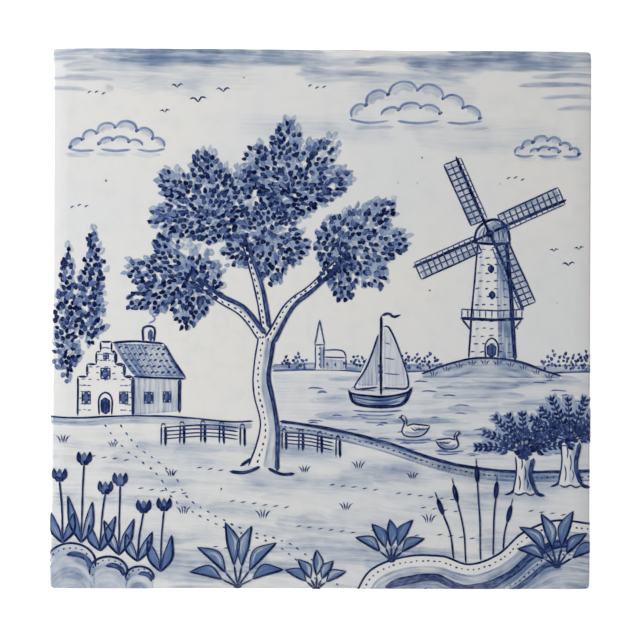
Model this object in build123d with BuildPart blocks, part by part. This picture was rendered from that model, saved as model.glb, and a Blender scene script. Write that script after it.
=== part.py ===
from build123d import *
import math
import os

# A square glazed earthenware wall tile, lying face up. The origin is the middle of the
# plane that its back rests on, +Z points out of the glazed face, and +Y is the top of
# the painted picture. All sizes are in millimetres.

# The tile as a whole
side = 130.0  # across the face, at its widest
thickness = 8.0  # from the resting plane to the flat middle of the face
corner_radius = 0.9  # of the four upright corners

# Edge of the face: a shallow cushion falls away to a small rounded arris
cushion_width = 4.0  # from the side to where the face is flat
cushion_radius = 22.0  # of the arc that falls away from the flat
cushion_corner_radius = 1.5  # where the flat of the face turns its corner
arris_radius = 0.7

# Sides and back, as they leave the press
side_draft = 1.5  # degrees that the sides lean in towards the back
back_bevel = 0.4  # chamfer round the back
key_pitch = 20.0  # from one keying pocket to the next
key_rib = 4.0  # width of the rib between two pockets, at the resting plane
key_rim = 6.0  # least width of the plain rim around the pockets
key_depth = 0.7
key_corner_radius = 2.5
key_draft = 30.0  # degrees that a pocket's walls lean in

flat_side = side - 2 * cushion_width
cushion_drop = cushion_radius - math.sqrt(cushion_radius**2 - cushion_width**2)
widest_height = thickness - cushion_drop - arris_radius
draft_inset = widest_height * math.tan(math.radians(side_draft))
back_side = side - 2 * draft_inset - 2 * back_bevel
key_size = key_pitch - key_rib
key_count = int((back_side - 2 * key_rim + key_rib) // key_pitch)


def is_upright(face):
    """True for a wall that stands across the face of the tile, before it is drafted."""
    return abs(face.normal_at().Z) < 0.1


def is_on_arris(edge):
    """True for an edge where the cushioned face meets the sides, above the widest outline."""
    middle = edge.center()
    outermost = max(abs(middle.X), abs(middle.Y)) > side / 2 - corner_radius
    runs_round = abs(edge.tangent_at(0.5).Z) < 0.5
    return middle.Z > widest_height and outermost and runs_round


# The cushioned face is the top of a wider block, whose edge is rounded by a long arc
with BuildPart() as cushion:
    wide_side = flat_side + 2 * cushion_radius
    with BuildSketch(Plane.XY.offset(thickness)):
        RectangleRounded(wide_side, wide_side, cushion_radius + cushion_corner_radius)
    extrude(amount=-2 * cushion_radius)
    fillet(cushion.faces().sort_by(Axis.Z)[-1].edges(), radius=cushion_radius)

# A keying pocket, as the block that is pressed into the back
with BuildPart() as pocket:
    with BuildSketch():
        RectangleRounded(key_size, key_size, key_corner_radius)
    extrude(amount=key_depth)
    draft(pocket.faces().filter_by(is_upright), neutral_plane=Plane.XY, angle=key_draft)

with BuildPart() as tile:
    # Sides: drafted both ways from the widest outline, with a chamfer round the back
    with BuildSketch():
        RectangleRounded(side, side, corner_radius)
    extrude(amount=thickness)
    walls = tile.faces().filter_by(is_upright)
    draft(walls, neutral_plane=Plane.XY.offset(widest_height), angle=-side_draft)
    chamfer(tile.faces().sort_by(Axis.Z)[0].edges(), length=back_bevel)

    # Face: trimmed to the cushion, with its outer edge rounded over
    add(cushion.part, mode=Mode.INTERSECT)
    fillet(tile.edges().filter_by(is_on_arris), radius=arris_radius)

    # Keying: a grid of pockets in the back, with ribs between them
    with GridLocations(key_pitch, key_pitch, key_count, key_count):
        add(pocket.part, mode=Mode.SUBTRACT)

tile.part.label = "tile"
os.makedirs("parts", exist_ok=True)
export_step(tile.part, "parts/tile.step")
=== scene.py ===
import math

import bpy
import numpy as np
from bpy.props import FloatProperty, FloatVectorProperty, PointerProperty
from mathutils import Euler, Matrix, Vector


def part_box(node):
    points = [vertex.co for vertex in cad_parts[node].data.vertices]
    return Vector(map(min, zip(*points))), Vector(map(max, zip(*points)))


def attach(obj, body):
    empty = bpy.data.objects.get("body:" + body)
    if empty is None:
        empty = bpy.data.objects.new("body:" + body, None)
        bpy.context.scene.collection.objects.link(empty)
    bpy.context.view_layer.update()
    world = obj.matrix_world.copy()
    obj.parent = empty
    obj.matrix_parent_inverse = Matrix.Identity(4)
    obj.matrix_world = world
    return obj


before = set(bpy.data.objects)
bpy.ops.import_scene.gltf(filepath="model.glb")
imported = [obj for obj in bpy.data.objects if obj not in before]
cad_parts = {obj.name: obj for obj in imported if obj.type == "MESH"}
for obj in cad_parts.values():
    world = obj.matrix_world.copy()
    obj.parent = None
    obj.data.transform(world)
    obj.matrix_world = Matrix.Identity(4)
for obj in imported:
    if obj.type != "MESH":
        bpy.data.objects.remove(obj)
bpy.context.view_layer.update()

bl_info = {
    "name": "Delft Tile",
    "version": (1, 0, 0),
    "blender": (4, 5, 0),
    "location": "3D View > Sidebar > Delft Tile",
    "description": "Glazes a pressed wall tile, paints a blue landscape on it and lights it",
    "category": "Object",
}

# The tile, in millimetres. Its own box gives the thickness.
MM = 0.001
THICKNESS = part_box("tile")[1].z / MM
HALF_SIDE = 65.0
HALF_FLAT = 61.0  # half the width of the flat of the face
FLAT_CORNER = 1.5  # radius at the corners of the flat
TILE_CORNER = 0.9  # radius of the tile's upright corners
CUSHION_RADIUS = 22.0  # of the arc that falls away outside the flat
CUSHION_REACH = 6.2  # the arc is followed this far outside the flat
ARRIS_RADIUS = 0.7
ARRIS_TILT = math.asin((HALF_SIDE - ARRIS_RADIUS - HALF_FLAT) / (CUSHION_RADIUS - ARRIS_RADIUS))
WIDEST_HEIGHT = 7.04  # of the tile's widest outline, where the arris meets the sides
SIDE_LEAN = math.tan(math.radians(1.5))  # the sides lean in below it

# How the marks of the brush lie on the glaze, in millimetres
HALF_PAINTED = 65.35  # in plan, with the arris rolled out flat
STACK = 0.012  # marks of a layer lie one above another within this height
WHITE_STACK = 0.0096  # the same for the patches of a white layer
GOLDEN = 0.618034  # successive marks step through the stack by this share of it
SHEET_MARGIN = 0.004  # share left free round a piece's own texture sheet
ARRIS_ZONE = 1.0  # width of the rim in which marks are made finer
ARRIS_CUTS = 4  # a quad in that rim is cut into this many along each side
ARRIS_LIFT = 0.05  # how much higher a mark stands once it has turned over the arris
ROW_STEP = 0.7  # from one row of a stroke's mesh to the next
FILL_STEP = 0.8  # the same in a ruled patch
WIDTH_DRIFT = 0.14  # share by which a stroke's width drifts
LOAD_DRIFT = 0.07  # share by which its load of pigment drifts
LEAF_LENGTH, LEAF_WIDTH = 1.55, 1.12
SPECK_SOFT = 0.06  # width over which a speck's edge fades
LEAST_AREA = 1e-5  # of a quad that is kept, in square millimetres
TINY = 1e-9  # keeps a length above zero where something is divided by it
LIFT = {
    "far wash": 0.0060, "far leaves": 0.0185, "far lines": 0.0310, "far white": 0.0450,
    "near wash": 0.0580, "near pale": 0.0705, "near leaves": 0.0830, "near lines": 0.0955,
    "tree pale": 0.1080, "tree leaves": 0.1205, "tree white": 0.1340, "tree wash": 0.1470,
    "tree lines": 0.1595, "tree front": 0.1720,
    "plant white": 0.1090, "plant wash": 0.1220, "plant lines": 0.1345,
}

# The thick of the glaze, which ran down the sides, in millimetres where nothing else is said
RUN_TOP = WIDEST_HEIGHT - 0.6  # height at which it starts
RUN_SWING = 0.42  # height of the slowest wave of its foot
RUN_WAVES = (3, 5, 8, 13, 21, 34, 55)  # times that each wave of its foot goes round the tile
RUN_BEAD = 0.1  # share of its height in which its foot rolls in
RUN_SUNK = 0.02  # how deep its thin edges lie inside the sides
SIDE_POINTS = 150  # along each side of the tile's outline
CORNER_POINTS = 6  # round each of its corners

# Finishes of the fired tile
GLOSS = 0.16  # roughness of the glaze and of the colours in it
GLASS_IOR = 1.5
THIN_GLAZE_SHADE_ZONE = (0.0056, 0.0069)  # heights in metres between which the glaze of the sides thickens and its clay tint, which is also painted shade on the sides, fades out


# Shapes


def outside(x, y, half, corner):
    """How far a point lies outside a square whose half side and corner radius are given."""
    past_x = np.maximum(np.abs(x) - half + corner, 0)
    past_y = np.maximum(np.abs(y) - half + corner, 0)
    return np.hypot(past_x, past_y) - corner


def face_height(x, y):
    """Height of the glazed face in mm. Inside the flat it is the thickness t. At a distance d
    outside the flat it is t - r + sqrt(r * r - d * d), an arc of the cushion's radius r."""
    d = np.clip(outside(x, y, HALF_FLAT, FLAT_CORNER), 0, CUSHION_REACH)
    return THICKNESS - CUSHION_RADIUS + np.sqrt(CUSHION_RADIUS**2 - d * d)


def past_upright(x, y):
    """Vectors by which places lie beyond the square that joins the middles of the tile's
    upright corners, and their lengths."""
    inner = HALF_SIDE - TILE_CORNER
    past_x, past_y = (np.sign(a) * np.maximum(np.abs(a) - inner, 0) for a in (x, y))
    return past_x, past_y, np.maximum(np.hypot(past_x, past_y), TINY)


def within_painted(x, y):
    """Places in plan, with those beyond the painted outline moved onto it."""
    x, y = (np.clip(a, -HALF_PAINTED, HALF_PAINTED) for a in (x, y))
    past_x, past_y, past = past_upright(x, y)
    moved = np.minimum(1, (HALF_PAINTED - HALF_SIDE + TILE_CORNER) / past) - 1
    return x + past_x * moved, y + past_y * moved


def on_glaze(x, y, lift):
    """Places on the face and round its arris, raised by lift. Past the start of the arris a
    point turns by the distance over the arris's radius r, so that it moves out to r * sin of
    its tilt and down by r * (cos of the tilt at the start - cos of its tilt)."""
    centre = TILE_CORNER - ARRIS_RADIUS
    past_x, past_y, past = past_upright(x, y)
    start = centre + ARRIS_RADIUS * math.sin(ARRIS_TILT)
    turn = np.maximum(past - start, 0) / ARRIS_RADIUS
    tilt = np.where(turn > 0, ARRIS_TILT + turn, 0)
    at_start = np.minimum(1, start / past)
    z = face_height(x - past_x * (1 - at_start), y - past_y * (1 - at_start))
    z = z - np.where(turn > 0, ARRIS_RADIUS * (math.cos(ARRIS_TILT) - np.cos(tilt)), 0)
    lift = lift + ARRIS_LIFT * np.minimum(turn, 1)
    reach = np.where(turn > 0, centre + ARRIS_RADIUS * np.sin(tilt) + lift * np.sin(tilt), past)
    moved = reach / past - 1
    return np.stack([x + past_x * moved, y + past_y * moved, z + lift * np.cos(tilt)], 1)


def grid_faces(rows, columns, copies=1):
    """Corners of the quads of a grid, counted row by row, for a number of equal grids."""
    i, j = np.meshgrid(np.arange(rows - 1), np.arange(columns - 1), indexing="ij")
    first = (i * columns + j).ravel()
    quads = np.stack([first, first + columns, first + columns + 1, first + 1], 1)
    step = np.arange(copies)[:, None, None] * rows * columns
    return (quads[None] + step).reshape(-1, 4)


def new_piece(name, places, quads, material):
    """A smooth piece from an array of places in metres and an array of quads."""
    mesh = bpy.data.meshes.new(name)
    mesh.vertices.add(len(places))
    mesh.vertices.foreach_set("co", np.ascontiguousarray(places, np.float32).ravel())
    mesh.loops.add(quads.size)
    mesh.loops.foreach_set("vertex_index", quads.astype(np.int32).ravel())
    mesh.polygons.add(len(quads))
    mesh.polygons.foreach_set("loop_start", np.arange(0, quads.size, 4, dtype=np.int32))
    mesh.polygons.foreach_set("use_smooth", np.ones(len(quads), bool))
    mesh.update(calc_edges=True)
    mesh.materials.append(material)
    piece = bpy.data.objects.new(name, mesh)
    bpy.context.scene.collection.objects.link(piece)
    return piece


def smooth_path(points, step=ROW_STEP):
    """Points every step mm along a curve through the given points. Each span is the cubic
    whose slope at an end is half the chord between the points on either side of that end."""
    p = np.asarray(points, float)
    q = np.vstack([2 * p[:1] - p[1:2], p, 2 * p[-1:] - p[-2:-1]])
    a, b, c, d = (q[k : len(q) - 3 + k, None] for k in range(4))
    t = np.linspace(0, 1, 9)[None, :-1, None]
    s = b + 0.5 * t * (c - a + t * (2 * a - 5 * b + 4 * c - d + t * (3 * b - a - 3 * c + d)))
    s = np.vstack([s.reshape(-1, 2), q[-2:-1]])
    run = way_along(s)
    at = np.linspace(0, run[-1], max(3, int(round(run[-1] / step)) + 1))
    return np.stack([np.interp(at, run, s[:, 0]), np.interp(at, run, s[:, 1])], 1)


def way_along(path):
    """Distance from the start of a path to each of its points."""
    return np.append(0, np.cumsum(np.hypot(*np.diff(path, axis=0).T)))


def spread_along(path, count):
    """The same path with a given number of points, at equal shares of its length."""
    run = way_along(path)
    at = np.linspace(0, run[-1], count)
    return np.stack([np.interp(at, run, path[:, k]) for k in (0, 1)], 1)


def left_of(path):
    """Unit vectors that point to the left of a path's direction."""
    ahead = np.gradient(path, axis=0)
    ahead /= np.maximum(np.hypot(*ahead.T), TINY)[:, None]
    return np.stack([-ahead[:, 1], ahead[:, 0]], 1)


def placed(points, x, y, size=1.0, turn=0.0, flip=1.0):
    """Points scaled, turned by an angle in degrees and moved to (x, y)."""
    p = np.asarray(points, float) * size * (flip, 1)
    c, s = math.cos(math.radians(turn)), math.sin(math.radians(turn))
    return p @ np.array([[c, s], [-s, c]]) + (x, y)


def pinned(x, y, size=1.0, flip=1.0, turn=0.0):
    """A function that takes the points of a motif to their places round (x, y)."""

    def at(*points):
        return placed(points, x, y, size, turn, flip)

    return at


def facing_up(data, quads):
    """The quads with their corners anticlockwise in plan, without those that have no area.
    Twice the area is the cross product of the two diagonals."""
    corner = data[quads, :2]
    one, two = corner[:, 2] - corner[:, 0], corner[:, 3] - corner[:, 1]
    area = 0.5 * (one[:, 0] * two[:, 1] - one[:, 1] * two[:, 0])
    return np.where(area[:, None] < 0, quads[:, ::-1], quads)[np.abs(area) > LEAST_AREA]


def sheet_places(data, cells, atlas):
    """Places on a piece's texture sheet: of the whole plan inside a margin, or with atlas of
    a grid of cells, one to a mark."""
    if atlas:
        cell, u, v = data[:, 9:].T
        cell = np.round(cell)
        side = math.ceil(math.sqrt(cells))
        return np.stack([cell % side + u, cell // side + v], 1) / side
    low, high = data[:, :2].min(0), data[:, :2].max(0)
    return SHEET_MARGIN + (1 - 2 * SHEET_MARGIN) * (data[:, :2] - low) / (high - low)


def split_at_arris(data, quads):
    """Cuts each quad that reaches the rounded arris into a grid of small ones that can bend,
    and drops the rows that no quad uses. The first two of a row's values are its place in plan,
    and every value of a new row is that of the point s, t of the quad: the four corners'
    values times (1 - s)(1 - t), s(1 - t), st and (1 - s)t."""
    near = (np.abs(data[quads, :2]).max(2) > HALF_SIDE - ARRIS_ZONE).any(1)
    rows = ARRIS_CUTS + 1
    s, t = (a.ravel() for a in np.meshgrid(*[np.linspace(0, 1, rows)] * 2, indexing="ij"))
    shares = np.stack([(1 - s) * (1 - t), s * (1 - t), s * t, (1 - s) * t])
    fine = np.einsum("qck,cp->qpk", data[quads[near]], shares).reshape(-1, data.shape[1])
    used, coarse = np.unique(quads[~near], return_inverse=True)
    data = np.vstack([data[used], fine])
    quads = np.vstack([coarse.reshape(-1, 4), grid_faces(rows, rows, near.sum()) + len(used)])
    # Rows that came out alike are one row. They are alike in place, rise and the mark's seed
    _, first, merged = np.unique(np.round(data[:, [0, 1, 2, 5]], 5), axis=0, return_index=True,
                                 return_inverse=True)
    quads = merged.ravel()[quads]
    whole = (quads != np.roll(quads, 1, 1)).all(1)
    return data[first], quads[whole]


class Brushwork:
    """Brush marks gathered in plan, in millimetres, and laid on the glaze as one piece."""

    def __init__(self, seed, weight=1.0, leaf=1.0, stack=STACK):
        self.rng = np.random.default_rng(seed)
        self.weight, self.leaf, self.stack = weight, leaf, stack
        self.places, self.brush, self.paint, self.sheet, self.quads = [], [], [], [], []
        self.count = self.marks = 0

    def slow(self, n, every=5.0):
        """n numbers that drift between about -1 and 1, with a turn every few numbers."""
        k = max(2, int(n / every) + 2)
        return np.interp(np.linspace(0, k - 1, n), np.arange(k), self.rng.uniform(-1, 1, k))

    def add(self, x, y, along, across, edge, load, soft=0.3):
        """Takes arrays of (copies, rows, columns): places, way along and across the mark,
        distance from its edge, load of pigment and the width over which its edge fades."""
        copies, rows, columns = x.shape
        seed = self.rng.uniform(0, 50, (copies, 1, 1))
        full = np.broadcast_arrays(x, y, along, across, seed, load, edge, soft)
        flat = [a.reshape(-1) for a in full]
        x, y = within_painted(*flat[:2])
        rise = (self.marks + np.arange(copies)) * GOLDEN % 1 * self.stack
        self.marks += copies
        self.places.append(np.stack([x, y, np.repeat(rise, rows * columns)], 1))
        self.brush.append(np.stack(flat[2:5], 1))
        self.paint.append(np.stack(flat[5:8], 1))
        cell = np.arange(copies)[:, None, None]
        u = (np.arange(rows)[None, :, None] + 0.5) / rows
        v = (np.arange(columns)[None, None] + 0.5) / columns
        self.sheet.append(np.stack([a.reshape(-1) for a in np.broadcast_arrays(cell, u, v)], 1))
        self.quads.append(grid_faces(rows, columns, copies) + self.count)
        self.count += len(x)

    def stroke(self, points, width=0.5, load=0.8, taper=(0.5, 1.0), wobble=0.06, cells=2, dry=0.0,
               soft=0.3):
        """One pull of the brush: a ribbon across a path. Its half width is that of a round cap
        at each end, w * sqrt(1 - (1 - s / a)^2) for s under a, with a slow drift between."""
        p = smooth_path(points)
        side = left_of(p)
        n = len(p)
        run = way_along(p)
        left = run[-1] - run
        p = p + side * (wobble * self.slow(n))[:, None]
        cap = [np.sqrt(1 - (1 - np.clip(s / max(a, 0.01), 0.02, 1)) ** 2)
               for s, a in ((run, taper[0]), (left, taper[1]))]
        half = 0.5 * width * self.weight * (1 + WIDTH_DRIFT * self.slow(n)) * np.minimum(*cap)
        v = np.linspace(-1, 1, cells + 1)
        x, y = (p[:, k, None] + side[:, k, None] * half[:, None] * v for k in (0, 1))
        edge = np.minimum((1 - np.abs(v)) * half[:, None], np.minimum(run, left)[:, None])
        fade = 1 - dry * (run / run[-1])
        pooled = load * fade * (1 + LOAD_DRIFT * self.slow(n))
        self.add(x[None], y[None], run[None, :, None], (half[:, None] * v)[None], edge[None],
                 pooled[None, :, None], soft)

    def lines(self, paths, **kind):
        """Several strokes of one kind."""
        for path in paths:
            self.stroke(path, **kind)

    def dabs(self, x, y, angle, length=1.4, width=1.0, load=0.85, bend=0.12, point=0.35):
        """Many single touches of the brush. Each is an oval whose half width at u from its
        middle is sqrt(1 - u^2) * (1 - point * u), bent sideways by 1 - u^2."""
        x, y, angle, length, width, load, bend = (
            np.asarray(a, float).reshape(-1, 1, 1)
            for a in np.broadcast_arrays(x, y, angle, length, width, load, bend))
        u = np.linspace(-0.97, 0.97, 6)[None, :, None]
        v = np.linspace(-1, 1, 4)[None, None]
        half = 0.5 * width * np.sqrt(1 - u * u) * (1 - point * u)
        ahead = 0.5 * length * u
        over = half * v + bend * length * (1 - u * u)
        c, s = np.cos(angle), np.sin(angle)
        edge = np.minimum((1 - np.abs(v)) * half, (1 - np.abs(u)) * 0.5 * length)
        self.add(x + c * ahead - s * over, y + s * ahead + c * over, ahead + 0 * over, over,
                 edge, load)

    def dashes(self, path, dash=0.9, gap=0.8, width=0.4, load=0.8, turn=0.0):
        """A broken line: dabs along a path, each a little off its place."""
        p = smooth_path(path, dash + gap)
        ahead = np.gradient(p, axis=0)
        angle = np.arctan2(ahead[:, 1], ahead[:, 0])
        n = len(p)
        p = p + self.rng.normal(0, 0.08, (n, 2))
        self.dabs(p[:, 0], p[:, 1], angle + turn + self.rng.normal(0, 0.12, n),
                  dash * self.rng.uniform(0.7, 1.2, n), width * self.rng.uniform(0.8, 1.2, n),
                  load * self.rng.uniform(0.85, 1.1, n), 0.05)

    def fill(self, one_edge, other_edge, load=0.4, soft=0.3, hair=1.0):
        """A patch of wash ruled between two curves: a point is a share of the way from one
        curve to the other, at the same share of both their lengths. A low value of hair
        makes the streaks broad."""
        a, b = smooth_path(one_edge, FILL_STEP), smooth_path(other_edge, FILL_STEP)
        n = max(len(a), len(b))
        a, b = spread_along(a, n), spread_along(b, n)
        gap = np.hypot(*(b - a).T)[:, None]
        t = np.linspace(0, 1, 2 + max(3, math.ceil(gap.max() / FILL_STEP)))[None]
        x, y = (a[:, k, None] * (1 - t) + b[:, k, None] * t for k in (0, 1))
        run = way_along((a + b) / 2)[:, None]
        edge = np.minimum(np.minimum(t, 1 - t) * gap, np.minimum(run, run[-1] - run))
        self.add(x[None], y[None], (run + 0 * gap)[None], (hair * t * gap)[None], edge[None],
                 np.full_like(x, load)[None], soft)

    def foliage(self, lobes, spacing=1.45, load=0.85, size=1.0, keep=1.0, spread=1.0, ruffle=0.3,
                shade=0.0):
        """Leaves on tapering lobes, each (root, tip, width). A lobe reaches w * (1 - t)^0.55
        to each side at a share t of the way to its tip, and its leaves lean outwards. Shade
        is how much paler and sparser the leaves are on its upper side, and the reverse below."""
        lobes = [(np.array(r, float), np.array(e, float), w * spread) for r, e, w in lobes]
        low = np.min([np.minimum(r, e) - w for r, e, w in lobes], 0)
        high = np.max([np.maximum(r, e) + w for r, e, w in lobes], 0)
        # Rows of a triangular grid, each half a spacing along from the one before
        x, y = np.meshgrid(np.arange(low[0], high[0], spacing),
                           np.arange(low[1], high[1], spacing * 0.87))
        x = x + spacing * 0.5 * (np.arange(len(x)) % 2)[:, None]
        p = np.stack([x.ravel(), y.ravel()], 1)
        p = p + self.rng.uniform(-0.3, 0.3, p.shape) * spacing
        best, angle, above = np.full(len(p), -1.0), np.zeros(len(p)), np.zeros(len(p))
        for root, tip, w in lobes:
            way = tip - root
            reach = np.hypot(*way)
            way = way / reach
            t = (p - root) @ way / reach
            off = (p - root) @ np.array([-way[1], way[0]])
            room = w * (1 - np.clip(t, 0, 1)) ** 0.55 + 0.2
            past = np.where(t < 0, np.hypot(off, t * reach), np.abs(off))
            inside = np.where(t < 1, 1 - past / room, -1)
            lean = math.atan2(way[1], way[0]) + 1.1 * np.clip(off / w, -1, 1)
            nearer = inside > best
            angle = np.where(nearer, lean, angle)
            above = np.where(nearer, np.clip(off * way[0] / w, -1, 1), above)
            best = np.maximum(best, inside)
        held = (best > 0) & (self.rng.uniform(size=len(p)) < keep * (1 - shade * above))
        p, angle, above = p[held], angle[held], above[held]
        n = len(p)
        self.dabs(p[:, 0], p[:, 1], angle + self.rng.normal(0, ruffle, n),
                  LEAF_LENGTH * size * self.leaf * self.rng.uniform(0.75, 1.2, n),
                  LEAF_WIDTH * size * self.leaf * self.rng.uniform(0.75, 1.2, n),
                  load * self.rng.uniform(0.8, 1.15, n) * (1 - shade * above),
                  self.rng.uniform(-0.16, 0.16, n))

    def sprig(self, path, length=1.5, width=0.9, load=0.9, start=0.3, gap=1.1):
        """Leaves in pairs along a twig, from a share of its length to its tip, each pair
        smaller than the one before."""
        p = smooth_path(path, gap)
        p = p[int(start * len(p)):]
        ahead = np.gradient(p, axis=0)
        angle = np.arctan2(ahead[:, 1], ahead[:, 0])
        size = np.linspace(1.1, 0.75, len(p)) * self.leaf * self.rng.uniform(0.85, 1.15, len(p))
        for side in (-1, 1):
            turn = angle + side * self.rng.uniform(0.6, 0.95, len(p))
            out = 0.5 * length * size
            self.dabs(p[:, 0] + out * np.cos(turn), p[:, 1] + out * np.sin(turn), turn,
                      length * size, width * size, load * self.rng.uniform(0.8, 1.1, len(p)),
                      side * 0.12)
        self.dabs(p[-1:, 0], p[-1:, 1] + 0.3, angle[-1:], length, width * 0.8, load)

    def lay(self, name, layer, material, slot="cobalt_blue", atlas=False):
        """Lays the marks on the glaze as a piece, in one of the layers. Marks share one plan
        as their texture sheet, or with atlas have a cell of it each."""
        sheet, cells = [], 0
        for s in self.sheet:
            sheet.append(s + (cells, 0, 0))
            cells += int(s[-1, 0]) + 1
        kinds = (self.places, self.brush, self.paint, sheet)
        data = np.hstack([np.concatenate(values) for values in kinds])
        data, quads = split_at_arris(data, facing_up(data, np.concatenate(self.quads)))
        x, y, rise = data[:, :3].T
        piece = new_piece(name, on_glaze(x, y, LIFT[layer] + rise) * MM, quads, material)
        for title, first in (("brush", 3), ("paint", 6)):
            values = piece.data.attributes.new(title, "FLOAT_VECTOR", "POINT")
            values.data.foreach_set("vector", data[:, first : first + 3].astype(np.float32).ravel())
        uv = sheet_places(data, cells, atlas)[quads.ravel()].astype(np.float32)
        piece.data.uv_layers.new(name="OFBake").uv.foreach_set("vector", uv.ravel())
        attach(piece, "root")


def line_brush(context, seed):
    """A brush for lines, as heavy as the user wants them."""
    return Brushwork(seed, context.scene.delft_brush.line_weight)


def leaf_brush(context, seed):
    """A brush for leaves, as large as the user wants them."""
    return Brushwork(seed, leaf=context.scene.delft_brush.leaf_size)


def reserve_brush():
    """Patches of glaze that are left white, so that what lies behind a motif stops at it."""
    return Brushwork(1, stack=WHITE_STACK)


# Finishes


class Finish:
    """A material whose nodes are added one by one."""

    def __init__(self, name):
        self.material = bpy.data.materials.new(name)
        self.material.use_nodes = True
        self.tree = self.material.node_tree
        self.tree.nodes.clear()
        self.out = self.tree.nodes.new("ShaderNodeOutputMaterial")

    def node(self, kind, settings=None, **inputs):
        """Adds a node. An input is named by its socket, or by i and its number, and takes a
        value or the socket to link."""
        n = self.tree.nodes.new(kind)
        for key, value in (settings or {}).items():
            setattr(n, key, value)
        for key, value in inputs.items():
            numbered = key[0] == "i" and key[1:].isdigit()
            socket = n.inputs[int(key[1:]) if numbered else key.replace("_", " ")]
            if isinstance(value, bpy.types.NodeSocket):
                self.tree.links.new(value, socket)
            else:
                socket.default_value = value
        return n

    def maths(self, operation, a, b=0.0, clamp=False):
        """One step of arithmetic."""
        n = self.node("ShaderNodeMath", {"operation": operation, "use_clamp": clamp}, i0=a, i1=b)
        return n.outputs[0]

    def product(self, first, *others):
        """All the values multiplied together."""
        for other in others:
            first = self.maths("MULTIPLY", first, other)
        return first

    def blend(self, factor, a, b):
        """A colour between a and b."""
        n = self.node("ShaderNodeMix", {"data_type": "RGBA"}, i0=factor, i6=a, i7=b)
        return n.outputs[2]

    def between(self, value, low, high, to_low=0.0, to_high=1.0):
        """A smooth step from one result to another as the value goes from low to high."""
        n = self.node("ShaderNodeMapRange", {"interpolation_type": "SMOOTHSTEP"},
                      i0=value, i1=low, i2=high, i3=to_low, i4=to_high)
        return n.outputs[0]

    def noise(self, place, scale, detail=2.0, rough=0.5):
        """Fractal noise from 0 to 1 about 0.5, with the given turns to a unit of length."""
        n = self.node("ShaderNodeTexNoise", Vector=place, Scale=scale, Detail=detail,
                      Roughness=rough)
        return n.outputs[0]

    def ramp(self, value, stops):
        """A colour that goes through (place, colour) stops."""
        n = self.node("ShaderNodeValToRGB", i0=value)
        elements = n.color_ramp.elements
        while len(elements) < len(stops):
            elements.new(1.0)
        for element, (at, stop) in zip(elements, stops):
            element.position = at
            element.color = (*stop, 1)
        return n.outputs[0]

    def finished(self, **shader):
        """Links a principled shader to the output and gives the material."""
        n = self.node("ShaderNodeBsdfPrincipled", **shader)
        self.tree.links.new(n.outputs[0], self.out.inputs[0])
        return self.material


def finish_named(name, make, settings):
    """The material of that name, made on its first use."""
    return bpy.data.materials.get(name) or make(name, settings)


def object_place(f):
    """Coordinates in metres from the middle of the tile's back."""
    return f.node("ShaderNodeTexCoord").outputs["Object"]


def glaze_relief(f, place):
    """Bump of the glaze: slow waves from the dipping and a finer ripple."""
    waves = f.noise(place, scale=45.0)
    ripple = f.noise(place, scale=420.0)
    height = f.maths("ADD", waves, f.product(ripple, 0.06))
    return f.node("ShaderNodeBump", Strength=0.35, Distance=0.00012, Height=height).outputs[0]


def tin_glaze(name, glaze):
    """Tin glaze on the face and down the sides to an uneven line, with the bare clay below it.
    Where the glaze lies thin on the sides, a little of the clay shows through, and this tint is
    also painted shade that darkens the sides, most on their lower part."""
    f = Finish(name)
    place = object_place(f)
    z = f.node("ShaderNodeSeparateXYZ", i0=place).outputs[2]
    cloudy = f.noise(place, scale=28.0, detail=3.0)
    mottle = f.noise(place, scale=240.0, detail=4.0, rough=0.6)
    white = f.blend(f.between(cloudy, 0.35, 0.7), (*glaze.white, 1), (*glaze.cool_white, 1))
    white = f.blend(f.between(mottle, 0.42, 0.72, 0.0, 0.5), white, (*glaze.grey_white, 1))
    cells = f.node("ShaderNodeTexVoronoi", Vector=place, Scale=210.0, Randomness=1.0)
    pits = f.product(f.between(cells.outputs["Distance"], 0.03, 0.09, 1.0, 0.0),
                     f.between(cells.outputs["Color"], 0.82, 0.86))
    white = f.blend(f.product(pits, 0.35), white, (*glaze.pit, 1))
    ragged = f.product(f.noise(place, scale=90.0), 0.0025)
    over = f.between(f.maths("SUBTRACT", z, ragged), glaze.bare_height, glaze.bare_height + 0.0003)
    clay = f.blend(f.noise(place, scale=300.0, detail=5.0, rough=0.65), (*glaze.biscuit, 1),
                   (*glaze.biscuit_dark, 1))
    thick = f.node("ShaderNodeAttribute", {"attribute_name": "thick"}).outputs["Fac"]
    # The clay tint of the lower sides is partly thin glaze and partly painted shade that darkens
    # the brightly lit sides
    thin = f.product(f.between(z, *THIN_GLAZE_SHADE_ZONE, glaze.thin, 0.0), f.maths("SUBTRACT", 1.0, thick),
                     f.between(cloudy, 0.3, 0.7, 0.6, 1.3))
    white = f.blend(thin, white, clay)
    grain = f.node("ShaderNodeBump", Strength=0.5, Distance=0.00006,
                   Height=f.noise(place, scale=2200.0, detail=3.0, rough=0.7)).outputs[0]
    normal = f.node("ShaderNodeMix", {"data_type": "VECTOR"}, i0=over, i4=grain,
                    i5=glaze_relief(f, place)).outputs[1]
    return f.finished(Base_Color=f.blend(over, clay, white), IOR=GLASS_IOR, Normal=normal,
                      Roughness=f.between(over, 0.0, 1.0, 0.85, GLOSS))


def brush_marks(f):
    """The marks' own values: hairs' coordinates, load, distance from the edge, softness."""
    brush = f.node("ShaderNodeAttribute", {"attribute_name": "brush"}).outputs["Vector"]
    paint = f.node("ShaderNodeAttribute", {"attribute_name": "paint"}).outputs["Vector"]
    return (*f.node("ShaderNodeSeparateXYZ", i0=brush).outputs,
            *f.node("ShaderNodeSeparateXYZ", i0=paint).outputs)


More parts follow.
